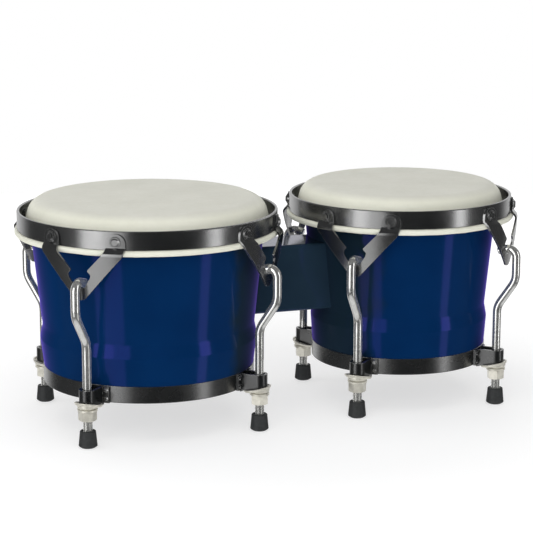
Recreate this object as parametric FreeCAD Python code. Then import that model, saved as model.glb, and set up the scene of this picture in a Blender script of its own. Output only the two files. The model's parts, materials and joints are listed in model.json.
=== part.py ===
"""A pair of bongos: a large and a small drum joined by a wooden block, standing on their tuning rods.

Millimetres, +Z up. X runs through both drum centres, the large drum is on the -X side, and Z = 0 is the
plane that the rubber feet stand on. The origin is under the middle of the pair's overall length.

Each drum is described about its own axis, and each of its four lugs is first made on the +X side of that
axis, where "r" is the distance from the drum's axis, and is then turned to its place.
"""
import FreeCAD, Part
import math
import os

# ---- the pair ------------------------------------------------------------------------------------------
CENTRE_DISTANCE = 227.6
LARGE_HOOP_RADIUS = 108.0        # outside of the steel hoop on the nominal 8 inch drum
SMALL_HOOP_RADIUS = 96.0         # outside of the steel hoop on the nominal 7 inch drum
TUCK_PROUD = 2.0                 # how far the rolled edge of the skin stands out past the hoop
MIDDLE_SHIFT = (LARGE_HOOP_RADIUS - SMALL_HOOP_RADIUS) / 2
LUG_ANGLES = [45.0, 135.0, 225.0, 315.0]
GAP = 0.05                       # clearance between fixed pieces that lie against each other
SOFT_EDGE = 0.9                  # rounding of the edges that a hand meets
SMALL_EDGE = 0.5                 # rounding of the other edges of sheet and strip

# ---- heights above the floor ---------------------------------------------------------------------------
HEAD_TOP = 188.0
HOOP_TOP = 178.6
HOOP_BOTTOM = 163.4
TUCK_BOTTOM = 158.6
RING_TOP = 48.5
RING_BOTTOM = 34.5
SHOULDER_Z = 160.0               # shell: end of the flare
WAIST_Z = 82.0                   # shell: narrowest place above the bead
BEAD_Z = 71.5                    # shell: crest of the bead round the lower shell

# ---- shells --------------------------------------------------------------------------------------------
SHELL_WALL = 6.5
BEARING_INSET = 11.4             # hoop radius minus shell radius at the bearing edge
BEARING_INNER_INSET = 18.0       # hoop radius minus the bore at the bearing edge
BEARING_WALL_Z = 175.0
BORE_ROUND = 40.0                # radius of the soft bend in the bore at the waist
BEAD_ROUND, WAIST_ROUND, SHOULDER_ROUND = 6.0, 14.0, 120.0

# ---- skins ---------------------------------------------------------------------------------------------
SKIN = 1.2
SKIN_ROUND = 12.8                # radius that the underside of the skin turns through over the edge
COLLAR_SLOPE = 0.2568            # outward run of the collar per millimetre of fall
TUCK_INSET = 5.3                 # hoop radius minus the inside of the tuck
TUCK_ROUND = 2.0
WRAP_END_INSET = 3.6
BEARING_GAP = 0.1
FLESH_HOOP_SIZE = (4.5, 2.2)     # width and height of the flat hoop that the skin is wrapped round

# ---- counterhoops, claws and their rivets --------------------------------------------------------------
HOOP_THICK = 2.5
CLAW_THICK = 1.6
CLAW_JOG = 4.2                   # the claw steps out this far to clear the tuck
CLAW_JOG_TOP, CLAW_JOG_BOTTOM = 165.0, 160.6
CLAW_TIP_Z = 122.6
CLAW_TIP_OUT = 1.5               # claw's inner face at its tip, outside the hoop's radius
EAR_TOP = 176.6
EAR_HALF_SPACING = 29.0
EAR_HALF_WIDTH = 7.6
EAR_BEND = 3.0
CLAW_SLOT_HALF = 4.3
CLAW_RIVET_Z = 170.2
CLAW_RIVET_SHANK = 2.5
CLAW_RIVET_HOLE = 2.55
CLAW_RIVET_COLLAR = (4.6, 4.1, 0.9)   # lower step of the head: radius at its base and top, and height
CLAW_RIVET_HEAD = (3.4, 2.5, 1.0)     # upper step of the head, in the same way
CLAW_RIVET_TAIL = (4.0, 1.2)          # radius and height
CLAW_RIVET_CLEAR = 0.2                # the flat head and tail clear the curved ear and hoop by this

# ---- tension rods --------------------------------------------------------------------------------------
SHANK_RADIUS = 3.6
THREAD_RADIUS = 3.95             # M8 x 1.25
THREAD_TOP = 44.0
ROD_BOTTOM = 3.05
ROD_LOW_INSET = 5.0              # hoop radius minus the rod's lower run
ROD_HIGH_OUTSET = 11.0           # the rod's upper run, outside the hoop
ROD_BEND_LOW, ROD_BEND_HIGH = 86.0, 110.0
ROD_BEND_RADIUS = 18.0
HOOK_AXIS_TOP = 137.0
HOOK_RADIUS = 7.0
HOOK_FALL = math.radians(15.0)   # the hook's end points this far below level
HOOK_TIP_INSET = 5.0             # hoop radius minus the tip of the hook
HOOK_TIP_ROUND = 0.8
HOOK_SEAT_CLEAR = 0.6            # the hook falls this much before it crosses the claw

# ---- bottom rings and lug brackets ---------------------------------------------------------------------
RING_THICK = 2.0
RING_LIP = 6.0
STRAP_THICK = 2.0
STRAP_TOP = 48.0
STRAP_OUTER = 6.7                # half the width of the U-shaped strap, and its outside bend
FLANGE_HALF = 12.2               # half the width over both flanges of a bracket
PLATE_TILT = math.radians(12.0)  # the strap's lower edge and its plate rise outwards
STRAP_BASE_Z = 35.7              # height of the strap's lower edge at the rod
BRACKET_RIVET_Z = [38.0, 45.0]
BRACKET_RIVET_OFFSET = 9.3
BRACKET_RIVET_SHANK = 1.6
BRACKET_RIVET_HEAD = (2.1, 1.4, 1.0)  # radius at its base and top, and height

# ---- dished plates, washers, nuts and feet -------------------------------------------------------------
PLATE_RADIUS = 12.1
PLATE_INSET = 2.0                # the plate's centre lies this far inwards of the rod
PLATE_THICK = 1.6
PLATE_RIM = 0.8
PLATE_FLOOR_RADIUS = 10.3
PLATE_HOLE = 4.6
PLATE_SIDE_RUN = 1.2             # the plate's side leans out by this much
BOSS_RADIUS = 8.4
BOSS_FLAT_RADIUS = 6.4           # flat of the boss that meets the washer
BOSS_SIDE = 1.6                  # height of the boss's lower, tapered side
BOSS_TOP = 3.0                   # the boss is drawn this far above the strap's edge, then cut at the plate
WASHER_TOP = 32.0
WASHER_THICK = 1.6
WASHER_RADIUS = 8.2
WASHER_HOLE = 4.2
HEX_FACE_INSET = 0.2             # how far inside its flats a hexagon's round end face stops
NUT_HEIGHT = 7.9
NUT_CHAMFER = 0.6
NUT_FLATS = 13.0
NUT_BORE = 4.0                   # 0.05 clear of the thread's crests all round
FOOT_HEIGHT = 14.0
FOOT_TOP_RADIUS = 6.45
FOOT_RADIUS = 7.65
FOOT_FACE_RADIUS = 5.6           # flat face that meets the floor
FOOT_HOLE = 4.0
FOOT_MOUTH = 1.0                 # chamfer at the mouth of the hole
FOOT_LOW_ROUND = 1.5

# ---- centre block and its fastenings -------------------------------------------------------------------
BLOCK_BOTTOM, BLOCK_TOP = 85.0, 142.5
BLOCK_DEPTH = 44.0
BLOCK_ROUND = 3.0
BOLT_RADIUS = 3.0                # M6
BOLT_HOLE = 3.3
BOLT_Z = [101.5, 126.5]
BOLT_HEAD_FLATS = 10.0
BOLT_HEAD_HEIGHT = 4.0
BOLT_CHAMFER = 0.5
BOLT_NUT_HEIGHT = 5.0
BOLT_END_PAST_NUT = 3.0
BOLT_WASHER = (6.0, 1.2)
BACKING_THICK = 2.0
BACKING_HALF_WIDTH = 20.0
BACKING_Z = (90.0, 138.0)

VECTOR = FreeCAD.Vector
UP = VECTOR(0, 0, 1)
OUTWARD = VECTOR(1, 0, 0)        # the way a lug on the +X side faces
ACROSS = VECTOR(0, 1, 0)
CENTRE = VECTOR(0, 0, 0)
REACH = 400.0                    # longer than anything here, for cutting tools

LARGE = {
    "name": "large", "x": -CENTRE_DISTANCE / 2 + MIDDLE_SHIFT, "hoop": LARGE_HOOP_RADIUS, "ring": 88.4,
    "foot_of_shell": 87.95, "bead": 90.7, "waist": 88.6, "shoulder": 96.6,
}
SMALL = {
    "name": "small", "x": CENTRE_DISTANCE / 2 + MIDDLE_SHIFT, "hoop": SMALL_HOOP_RADIUS, "ring": 75.6,
    "foot_of_shell": 75.15, "bead": 76.8, "waist": 74.8, "shoulder": 82.4,
}


# ---- outlines ------------------------------------------------------------------------------------------
def in_section(r, z):
    """A point of a section through a drum's axis."""
    return VECTOR(r, 0, z)


def in_front(y, z):
    """A point of an outline seen along the lug's own direction."""
    return VECTOR(0, y, z)


def unit(from_point, to_point):
    length = math.dist(from_point, to_point)
    return ((to_point[0] - from_point[0]) / length, (to_point[1] - from_point[1]) / length)


def rounded_wire(corners, place, closed=True):
    """Straight runs through (a, b, radius) corners, joined by tangent arcs of those radii."""
    points = [(c[0], c[1]) for c in corners]
    count = len(corners)
    starts, ends, arcs = [], [], []
    for i, (a, b, radius) in enumerate(corners):
        inner = closed or 0 < i < count - 1
        if not (inner and radius > 0):
            starts.append((a, b))
            ends.append((a, b))
            arcs.append(None)
            continue
        back = unit((a, b), points[i - 1])
        ahead = unit((a, b), points[(i + 1) % count])
        half = math.acos(max(-1.0, min(1.0, back[0] * ahead[0] + back[1] * ahead[1]))) / 2
        run = radius / math.tan(half)
        out = radius / math.sin(half) - radius
        middle = unit((0, 0), (back[0] + ahead[0], back[1] + ahead[1]))
        starts.append((a + back[0] * run, b + back[1] * run))
        ends.append((a + ahead[0] * run, b + ahead[1] * run))
        arcs.append((a + middle[0] * out, b + middle[1] * out))
    edges = []
    for i in range(count):
        if arcs[i]:
            edges.append(Part.Arc(place(*starts[i]), place(*arcs[i]), place(*ends[i])).toShape())
        if i + 1 < count or closed:
            following = starts[(i + 1) % count]
            if math.dist(ends[i], following) > 1e-6:
                edges.append(Part.LineSegment(place(*ends[i]), place(*following)).toShape())
    return Part.Wire(edges)


def thickened(path, thickness):
    """Closed corners of a strip whose one face is path and whose other face lies to path's left."""
    moved = []
    for i, (a, b, radius) in enumerate(path):
        before = unit(path[i - 1][:2], (a, b)) if i else None
        after = unit((a, b), path[i + 1][:2]) if i + 1 < len(path) else None
        first = before or after
        second = after or before
        sum_a, sum_b = -(first[1] + second[1]), first[0] + second[0]
        share = thickness / (-sum_a * first[1] + sum_b * first[0])
        turn = first[0] * second[1] - first[1] * second[0]
        other = radius - thickness if turn > 0 else radius + thickness
        moved.append((a + sum_a * share, b + sum_b * share, max(other, 0.0) if radius else 0.0))
    return list(path) + moved[::-1]


def turned_solid(corners):
    """The solid that a section with these corners sweeps round the drum's axis."""
    return Part.Face(rounded_wire(corners, in_section)).revolve(CENTRE, UP, 360)


def tube(outer, inner, bottom, height, x=0.0):
    at = VECTOR(x, 0, bottom)
    return Part.makeCylinder(outer, height, at).cut(Part.makeCylinder(inner, height, at))


def along_x(radius, start, end, z, y=0.0):
    return Part.makeCylinder(radius, end - start, VECTOR(start, y, z), OUTWARD)


def hexagon(flats, bottom, height, chamfer):
    """A hexagonal prism on the Z axis, whose ends are turned so that the corners are chamfer lower."""
    corner = flats / math.sqrt(3)
    points = [VECTOR(corner * math.cos(k * math.pi / 3), corner * math.sin(k * math.pi / 3), bottom)
              for k in range(6)]
    prism = Part.Face(Part.makePolygon(points + points[:1])).extrude(VECTOR(0, 0, height))
    face = flats / 2 - HEX_FACE_INSET
    top = bottom + height
    body = [(0, bottom, 0), (face, bottom, 0), (corner, bottom + chamfer, 0),
            (corner, top - chamfer, 0), (face, top, 0), (0, top, 0)]
    return prism.common(turned_solid(body))


def at_lug(shape, drum, angle):
    """Turns a piece made on the +X side of the axis to its lug, on its drum."""
    placed = shape.copy()
    placed.rotate(CENTRE, UP, angle)
    placed.translate(VECTOR(drum["x"], 0, 0))
    return placed


def on_drum(shape, drum):
    placed = shape.copy()
    placed.translate(VECTOR(drum["x"], 0, 0))
    return placed


# ---- shell, skin and hoops -----------------------------------------------------------------------------
def skin_underside(drum):
    """The skin's inner face from the drum's axis, over the edge, down the collar and round the tuck."""
    hoop = drum["hoop"]
    under = HEAD_TOP - SKIN
    edge = hoop - TUCK_INSET - (under - TUCK_BOTTOM) * COLLAR_SLOPE
    return [
        (0, under, 0), (edge, under, SKIN_ROUND), (hoop - TUCK_INSET, TUCK_BOTTOM, TUCK_ROUND),
        (hoop + TUCK_PROUD, TUCK_BOTTOM, TUCK_ROUND), (hoop + TUCK_PROUD, HOOP_BOTTOM, TUCK_ROUND),
        (hoop - WRAP_END_INSET, HOOP_BOTTOM, 0),
    ]


def bearing_centre(drum):
    """Centre of the round that the skin turns over, as (r, z)."""
    corner = skin_underside(drum)[1]
    turn = math.pi / 2 - math.atan(COLLAR_SLOPE)
    return corner[0] - SKIN_ROUND * math.tan(turn / 2), corner[1] - SKIN_ROUND


def bore_radius(drum, z):
    """Inside radius of the shell at a height between its foot and its bearing edge."""
    low, high = drum["waist"] - SHELL_WALL, drum["hoop"] - BEARING_INNER_INSET
    share = max(0.0, (z - WAIST_Z) / (BEARING_WALL_Z - WAIST_Z))
    return low + (high - low) * share


def outer_corners(drum, grow=0.0):
    """The shell's outside from its foot to the start of the bearing edge."""
    return [
        (drum["foot_of_shell"] + grow, RING_TOP, 0), (drum["bead"] + grow, BEAD_Z, BEAD_ROUND),
        (drum["waist"] + grow, WAIST_Z, WAIST_ROUND),
        (drum["shoulder"] + grow, SHOULDER_Z, SHOULDER_ROUND),
    ]


def shell(drum):
    centre_r, centre_z = bearing_centre(drum)
    radius = SKIN_ROUND - BEARING_GAP
    outside = drum["hoop"] - BEARING_INSET
    inside = drum["hoop"] - BEARING_INNER_INSET
    heights = [centre_z + math.sqrt(radius ** 2 - (r - centre_r) ** 2)
               for r in (outside, (outside + inside) / 2, inside)]
    seat = drum["ring"] - RING_THICK - GAP
    foot = RING_BOTTOM + RING_THICK + GAP
    wall = [(bore_radius(drum, 0), foot, 0), (seat, foot, 0), (seat, RING_TOP, 0)]
    wall += outer_corners(drum) + [(outside, heights[0], 0)]
    up = rounded_wire(wall, in_section, closed=False)
    edge = Part.Arc(in_section(outside, heights[0]), in_section((outside + inside) / 2, heights[1]),
                    in_section(inside, heights[2])).toShape()
    down = rounded_wire([(inside, heights[2], 0), (inside, BEARING_WALL_Z, 0),
                         (bore_radius(drum, WAIST_Z), WAIST_Z, BORE_ROUND), (bore_radius(drum, 0), foot, 0)],
                        in_section, closed=False)
    section = Part.Face(Part.Wire(up.Edges + [edge] + down.Edges))
    body = on_drum(section.revolve(CENTRE, UP, 360), drum)
    return body.cut(bolt_holes())


def shell_envelope(drum):
    """Everything inside the shell's outer face, a hair larger, for cutting the block's ends."""
    side = outer_corners(drum, GAP)
    top = side[-1]
    corners = [(0, RING_TOP, 0)] + side[:-1] + [(top[0], top[1], 0), (0, top[1], 0)]
    return on_drum(turned_solid(corners), drum)


def head_skin(drum):
    return on_drum(turned_solid(thickened(skin_underside(drum), SKIN)), drum)


def flesh_hoop(drum):
    width, height = FLESH_HOOP_SIZE
    outer = drum["hoop"] + TUCK_PROUD - SKIN - 2 * GAP
    bottom = (TUCK_BOTTOM + HOOP_BOTTOM - height) / 2
    corners = [(outer - width, bottom, SMALL_EDGE), (outer, bottom, SOFT_EDGE),
               (outer, bottom + height, SOFT_EDGE), (outer - width, bottom + height, SMALL_EDGE)]
    return on_drum(turned_solid(corners), drum)


def counterhoop(drum):
    outer = drum["hoop"]
    inner = outer - HOOP_THICK
    hoop = turned_solid([(inner, HOOP_BOTTOM, SMALL_EDGE), (outer, HOOP_BOTTOM, SMALL_EDGE),
                         (outer, HOOP_TOP, SOFT_EDGE), (inner, HOOP_TOP, SOFT_EDGE)])
    hoop = on_drum(hoop, drum)
    holes = [at_lug(claw_rivet_hole(drum, side), drum, angle) for angle in LUG_ANGLES for side in (-1, 1)]
    return hoop.cut(Part.makeCompound(holes))


# ---- claws and their rivets ----------------------------------------------------------------------------
def ear_angle(drum):
    return math.degrees(math.asin(EAR_HALF_SPACING / (drum["hoop"] + CLAW_THICK)))


def claw_rivet_hole(drum, side):
    """The hole for one of a claw's two rivets, through the ear and the hoop."""
    hole = along_x(CLAW_RIVET_HOLE, drum["hoop"] - 2 * HOOP_THICK, drum["hoop"] + 2 * CLAW_THICK,
                   CLAW_RIVET_Z)
    hole.rotate(CENTRE, UP, side * ear_angle(drum))
    return hole


def hook_seat_z():
    """Height of the hook's underside where it crosses the claw."""
    return HOOK_AXIS_TOP - SHANK_RADIUS - HOOK_SEAT_CLEAR


def claw_outline():
    """Half of the flat pattern, from the tip round the ear to the slot, as (across, height, round)."""
    ear_in = EAR_HALF_SPACING - EAR_HALF_WIDTH
    ear_out = EAR_HALF_SPACING + EAR_HALF_WIDTH
    return [
        (3.4, CLAW_TIP_Z, 6.0), (36.5, 159.6, 8.0), (ear_out, 163.6, 3.0), (ear_out, EAR_TOP, 7.59),
        (ear_in, EAR_TOP, 7.59), (ear_in, 163.0, 4.0), (20.0, 160.0, 4.0), (7.2, 146.8, 1.2),
        (10.2, 143.6, 1.0), (9.6, 141.0, 1.5), (CLAW_SLOT_HALF, hook_seat_z(), 4.2),
    ]


def claw(drum):
    """A forked steel plate: two ears riveted to the hoop and a slot that the hook sits in."""
    face = drum["hoop"] + GAP
    profile = [
        (face, EAR_TOP + 1, 0), (face, CLAW_JOG_TOP, EAR_BEND),
        (face + CLAW_JOG, CLAW_JOG_BOTTOM, EAR_BEND), (face + CLAW_TIP_OUT, CLAW_TIP_Z - 1, 0),
    ]
    sheet = turned_solid(thickened(profile, CLAW_THICK))
    half = claw_outline()
    outline = half + [(-a, b, radius) for a, b, radius in half[::-1]]
    pattern = Part.Face(rounded_wire(outline, in_front)).extrude(VECTOR(REACH, 0, 0))
    holes = Part.makeCompound([claw_rivet_hole(drum, side) for side in (-1, 1)])
    return sheet.common(pattern).cut(holes)


def claw_rivet(drum):
    """One rivet on the +X side: stepped head outside the ear, shank, and flat tail inside the hoop."""
    ear = drum["hoop"] + GAP + CLAW_THICK + CLAW_RIVET_CLEAR
    inside = drum["hoop"] - HOOP_THICK - CLAW_RIVET_CLEAR
    collar_h, head_h = CLAW_RIVET_COLLAR[2], CLAW_RIVET_HEAD[2]
    tail_r, tail_h = CLAW_RIVET_TAIL
    collar = Part.makeCone(*CLAW_RIVET_COLLAR, VECTOR(ear, 0, CLAW_RIVET_Z), OUTWARD)
    head = Part.makeCone(*CLAW_RIVET_HEAD, VECTOR(ear + collar_h, 0, CLAW_RIVET_Z), OUTWARD)
    tail = along_x(tail_r, inside - tail_h, inside, CLAW_RIVET_Z)
    shank = along_x(CLAW_RIVET_SHANK, inside - tail_h / 2, ear + collar_h / 2, CLAW_RIVET_Z)
    return collar.multiFuse([head, tail, shank]).removeSplitter()


def claw_rivets(drum):
    made = []
    for angle in LUG_ANGLES:
        for side in (-1, 1):
            made.append(at_lug(claw_rivet(drum), drum, angle + side * ear_angle(drum)))
    return Part.makeCompound(made)


# ---- tension rods and feet -----------------------------------------------------------------------------
def rod_radius(drum):
    """Distance of the rod's lower run, its nut and its foot from the drum's axis."""
    return drum["hoop"] - ROD_LOW_INSET


def tension_rod(drum):
    """A round rod: threaded foot, double bend outwards, and a hook over the top."""
    low = rod_radius(drum)
    high = drum["hoop"] + ROD_HIGH_OUTSET
    tip = drum["hoop"] - HOOK_TIP_INSET
    half_turn = (math.pi / 2 + HOOK_FALL) / 2
    arc_centre = high - HOOK_RADIUS
    corner_z = HOOK_AXIS_TOP - HOOK_RADIUS + HOOK_RADIUS * math.tan(half_turn)
    tip_z = corner_z - (high - tip) * math.tan(HOOK_FALL)
    path = [(low, ROD_BOTTOM + 1, 0), (low, ROD_BEND_LOW, ROD_BEND_RADIUS),
            (high, ROD_BEND_HIGH, ROD_BEND_RADIUS), (arc_centre + HOOK_RADIUS, corner_z, HOOK_RADIUS),
            (tip, tip_z, 0)]
    spine = rounded_wire(path, in_section, closed=False)
    ring = Part.Wire(Part.makeCircle(SHANK_RADIUS, VECTOR(low, 0, ROD_BOTTOM + 1), UP))
    shank = spine.makePipeShell([ring], True, False)
    tip_edges = [e for e in shank.Edges if e.BoundBox.XMax < tip + 2 and e.BoundBox.ZMin > ROD_BEND_HIGH
                 and e.Length > 5 * SHANK_RADIUS]
    shank = shank.makeFillet(HOOK_TIP_ROUND, tip_edges)
    thread = Part.makeCylinder(THREAD_RADIUS, THREAD_TOP - ROD_BOTTOM, VECTOR(low, 0, ROD_BOTTOM))
    return shank.fuse(thread).removeSplitter()


def rubber_foot(drum):
    floor = ROD_BOTTOM - GAP
    corners = [(0, 0, 0), (FOOT_FACE_RADIUS, 0, FOOT_LOW_ROUND), (FOOT_RADIUS, FOOT_LOW_ROUND, 0.6),
               (FOOT_TOP_RADIUS, FOOT_HEIGHT, SOFT_EDGE), (FOOT_HOLE + FOOT_MOUTH, FOOT_HEIGHT, 0.3),
               (FOOT_HOLE, FOOT_HEIGHT - FOOT_MOUTH, 0), (FOOT_HOLE, floor, 0), (0, floor, 0)]
    foot = turned_solid(corners)
    foot.translate(VECTOR(rod_radius(drum), 0, 0))
    return foot


# ---- bottom ring, lug brackets and their rivets --------------------------------------------------------
def bottom_ring(drum):
    outer = drum["ring"]
    band = outer - RING_THICK
    lip_top = RING_BOTTOM + RING_THICK
    ring = turned_solid([(band - RING_LIP, RING_BOTTOM, SMALL_EDGE), (outer, RING_BOTTOM, SOFT_EDGE),
                         (outer, RING_TOP, SMALL_EDGE), (band, RING_TOP, SMALL_EDGE), (band, lip_top, 0),
                         (band - RING_LIP, lip_top, SMALL_EDGE)])
    holes = [at_lug(bracket_rivet_hole(drum, side, z), drum, angle)
             for angle in LUG_ANGLES for side in (-1, 1) for z in BRACKET_RIVET_Z]
    return on_drum(ring, drum).cut(Part.makeCompound(holes))


def bracket_rivet_angle(drum):
    return math.degrees(math.asin(BRACKET_RIVET_OFFSET / (drum["ring"] + STRAP_THICK)))


def bracket_rivet_hole(drum, side, z):
    hole = along_x(BRACKET_RIVET_SHANK + GAP, drum["ring"] - 1.5 * RING_THICK,
                   drum["ring"] + 2 * STRAP_THICK, z)
    hole.rotate(CENTRE, UP, side * bracket_rivet_angle(drum))
    return hole


def below_plate_floor(drum, lift=0.0):
    """The half-space under the tilted plane that the strap stands on, as a large box."""
    box = Part.makeBox(REACH, REACH, REACH, VECTOR(-REACH / 2, -REACH / 2, -REACH))
    box.rotate(CENTRE, ACROSS, -math.degrees(PLATE_TILT))
    box.translate(VECTOR(rod_radius(drum), 0, STRAP_BASE_Z + lift))
    return box


def u_column(rod, half_width, bottom, height):
    """An upright column: a half round about the rod outside, and straight sides inwards to the ring."""
    round_side = Part.makeCylinder(half_width, height, VECTOR(rod, 0, bottom))
    depth = 4 * half_width
    return round_side.fuse(Part.makeBox(depth, 2 * half_width, height,
                                        VECTOR(rod - depth, -half_width, bottom)))


def lug_bracket(drum):
    """A steel strap bent to a U round the rod, with a flange each side riveted to the ring."""
    rod = rod_radius(drum)
    ring = drum["ring"]
    bottom = RING_BOTTOM - STRAP_OUTER
    height = STRAP_TOP - bottom
    inner = STRAP_OUTER - STRAP_THICK
    strap = u_column(rod, STRAP_OUTER, bottom, height).cut(u_column(rod, inner, bottom, height))
    flange = tube(ring + STRAP_THICK + GAP, ring + GAP, RING_BOTTOM, STRAP_TOP - RING_BOTTOM)
    flange = flange.common(Part.makeBox(2 * ring, 2 * FLANGE_HALF, height, VECTOR(0, -FLANGE_HALF, bottom)))
    flange = flange.cut(Part.makeBox(2 * ring, 2 * inner, height, VECTOR(0, -inner, bottom)))
    bracket = strap.fuse(flange)
    bracket = bracket.cut(Part.makeCylinder(ring + GAP, REACH, VECTOR(0, 0, -REACH / 2)))
    bracket = bracket.cut(below_plate_floor(drum)).cut(plate_rim(drum, GAP))
    holes = [bracket_rivet_hole(drum, side, z) for side in (-1, 1) for z in BRACKET_RIVET_Z]
    return bracket.cut(Part.makeCompound(holes)).removeSplitter()


def lug_brackets(drum):
    return Part.makeCompound([at_lug(lug_bracket(drum), drum, angle) for angle in LUG_ANGLES])


def bracket_rivet(drum, z):
    face = drum["ring"] + STRAP_THICK + 3 * GAP
    start = drum["ring"] - RING_THICK + GAP
    head = Part.makeCone(*BRACKET_RIVET_HEAD, VECTOR(face, 0, z), OUTWARD)
    shank = along_x(BRACKET_RIVET_SHANK, start, face + BRACKET_RIVET_HEAD[2] / 2, z)
    return head.fuse(shank).removeSplitter()


def bracket_rivets(drum):
    made = []
    for angle in LUG_ANGLES:
        for side in (-1, 1):
            for z in BRACKET_RIVET_Z:
                made.append(at_lug(bracket_rivet(drum, z), drum, angle + side * bracket_rivet_angle(drum)))
    return Part.makeCompound(made)


# ---- dished plates, washers and nuts -------------------------------------------------------------------
def tilted_at_rod(shape, drum):
    """Places a piece made level about Z on the strap's tilted plane, centred inwards of the rod."""
    placed = shape.copy()
    placed.translate(VECTOR(-PLATE_INSET, 0, 0))
    placed.rotate(CENTRE, ACROSS, -math.degrees(PLATE_TILT))
    placed.translate(VECTOR(rod_radius(drum), 0, STRAP_BASE_Z))
    return placed


def plate_rim(drum, grow=0.0):
    """The raised rim round the dished plate."""
    return tilted_at_rod(tube(PLATE_RADIUS + grow, PLATE_FLOOR_RADIUS - grow, -PLATE_THICK,
                              PLATE_THICK + PLATE_RIM + grow), drum)


def cup_plate(drum):
    """A round dished plate, tilted under the strap, with a ball-shaped boss that sits on the washer."""
    rod = rod_radius(drum)
    disc = turned_solid([(0, -PLATE_THICK, 0), (PLATE_RADIUS - PLATE_SIDE_RUN, -PLATE_THICK, 1.5),
                         (PLATE_RADIUS, PLATE_RIM, SMALL_EDGE), (PLATE_FLOOR_RADIUS, PLATE_RIM, 0.4),
                         (PLATE_FLOOR_RADIUS, 0, 0), (0, 0, 0)])
    disc = tilted_at_rod(disc, drum)
    top = STRAP_BASE_Z - PLATE_THICK / 2 + BOSS_TOP
    boss = turned_solid([(0, WASHER_TOP, 0), (BOSS_FLAT_RADIUS, WASHER_TOP, SMALL_EDGE),
                         (BOSS_RADIUS, WASHER_TOP + BOSS_SIDE, 1.5), (BOSS_RADIUS, top, 0), (0, top, 0)])
    boss.translate(VECTOR(rod, 0, 0))
    under = below_plate_floor(drum, -PLATE_THICK / 2)
    hole = Part.makeCylinder(PLATE_HOLE, REACH, VECTOR(rod, 0, 0))
    return disc.fuse(boss.common(under)).cut(hole).removeSplitter()


def washer(drum):
    return tube(WASHER_RADIUS, WASHER_HOLE, WASHER_TOP - WASHER_THICK, WASHER_THICK - GAP, rod_radius(drum))


def tuning_nut(drum):
    """The hexagon nut that draws the rod down. Its bore runs on the rod's thread."""
    bottom = WASHER_TOP - WASHER_THICK - GAP - NUT_HEIGHT
    nut = hexagon(NUT_FLATS, bottom, NUT_HEIGHT, NUT_CHAMFER)
    nut = nut.cut(Part.makeCylinder(NUT_BORE, NUT_HEIGHT, VECTOR(0, 0, bottom)))
    nut.translate(VECTOR(rod_radius(drum), 0, 0))
    return nut


def group(maker, drum):
    return Part.makeCompound([at_lug(maker(drum), drum, angle) for angle in LUG_ANGLES])


# ---- centre block and its fastenings -------------------------------------------------------------------
def backing_face(drum, z):
    """Distance from the drum's axis to the flat seat on the inside of its backing plate."""
    radius = bore_radius(drum, z - BOLT_WASHER[0]) - BACKING_THICK - GAP
    return math.sqrt(radius ** 2 - BOLT_WASHER[0] ** 2) - 2 * GAP


def bolt_span(z):
    """Where the seats inside the two shells lie along X."""
    return LARGE["x"] + backing_face(LARGE, z), SMALL["x"] - backing_face(SMALL, z)


def bolt_holes():
    return Part.makeCompound([along_x(BOLT_HOLE, LARGE["x"], SMALL["x"], z) for z in BOLT_Z])


def backing_plate(drum, side):
    """A curved steel plate inside the shell, which spreads the bolts' load. side is towards the block."""
    low, high = BACKING_Z
    inner = [(bore_radius(drum, z) - BACKING_THICK - GAP, z, 0) for z in (low, high)]
    outer = [(bore_radius(drum, z) - GAP, z, 0) for z in (high, low)]
    plate = turned_solid(inner + outer)
    start = 0 if side > 0 else -REACH
    window = Part.makeBox(REACH, 2 * BACKING_HALF_WIDTH, high - low,
                          VECTOR(start, -BACKING_HALF_WIDTH, low))
    return on_drum(plate.common(window), drum).cut(bolt_holes())


def centre_block():
    length = SMALL["x"] - LARGE["x"]
    block = Part.makeBox(length, BLOCK_DEPTH, BLOCK_TOP - BLOCK_BOTTOM,
                         VECTOR(LARGE["x"], -BLOCK_DEPTH / 2, BLOCK_BOTTOM))
    long_edges = [e for e in block.Edges if e.Length > length - 1]
    block = block.makeFillet(BLOCK_ROUND, long_edges)
    return block.cut(shell_envelope(LARGE)).cut(shell_envelope(SMALL)).cut(bolt_holes())


def towards_x(shape, x, z, direction):
    """Lays a piece made up the Z axis along X, starting at x and pointing in direction."""
    placed = shape.copy()
    placed.rotate(CENTRE, ACROSS, 90 * direction)
    placed.translate(VECTOR(x, 0, z))
    return placed


def block_bolts():
    made = []
    for z in BOLT_Z:
        head_seat, nut_seat = bolt_span(z)
        head_seat -= BOLT_WASHER[1] + GAP
        end = nut_seat + BOLT_WASHER[1] + BOLT_NUT_HEIGHT + BOLT_END_PAST_NUT
        head = towards_x(hexagon(BOLT_HEAD_FLATS, 0, BOLT_HEAD_HEIGHT, BOLT_CHAMFER), head_seat, z, -1)
        made.append(head.fuse(along_x(BOLT_RADIUS, head_seat - 1, end, z)).removeSplitter())
    return Part.makeCompound(made)


def block_bolt_nuts():
    made = []
    for z in BOLT_Z:
        seat = bolt_span(z)[1] + BOLT_WASHER[1] + 2 * GAP
        nut = towards_x(hexagon(BOLT_HEAD_FLATS, 0, BOLT_NUT_HEIGHT, BOLT_CHAMFER), seat, z, 1)
        made.append(nut.cut(along_x(BOLT_RADIUS + GAP, seat - 1, seat + 2 * BOLT_NUT_HEIGHT, z)))
    return Part.makeCompound(made)


def block_bolt_washers():
    radius, thick = BOLT_WASHER
    made = []
    for z in BOLT_Z:
        large_seat, small_seat = bolt_span(z)
        for start in (large_seat - thick, small_seat):
            made.append(along_x(radius, start, start + thick, z).cut(
                along_x(BOLT_HOLE, start, start + thick, z)))
    return Part.makeCompound(made)


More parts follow.
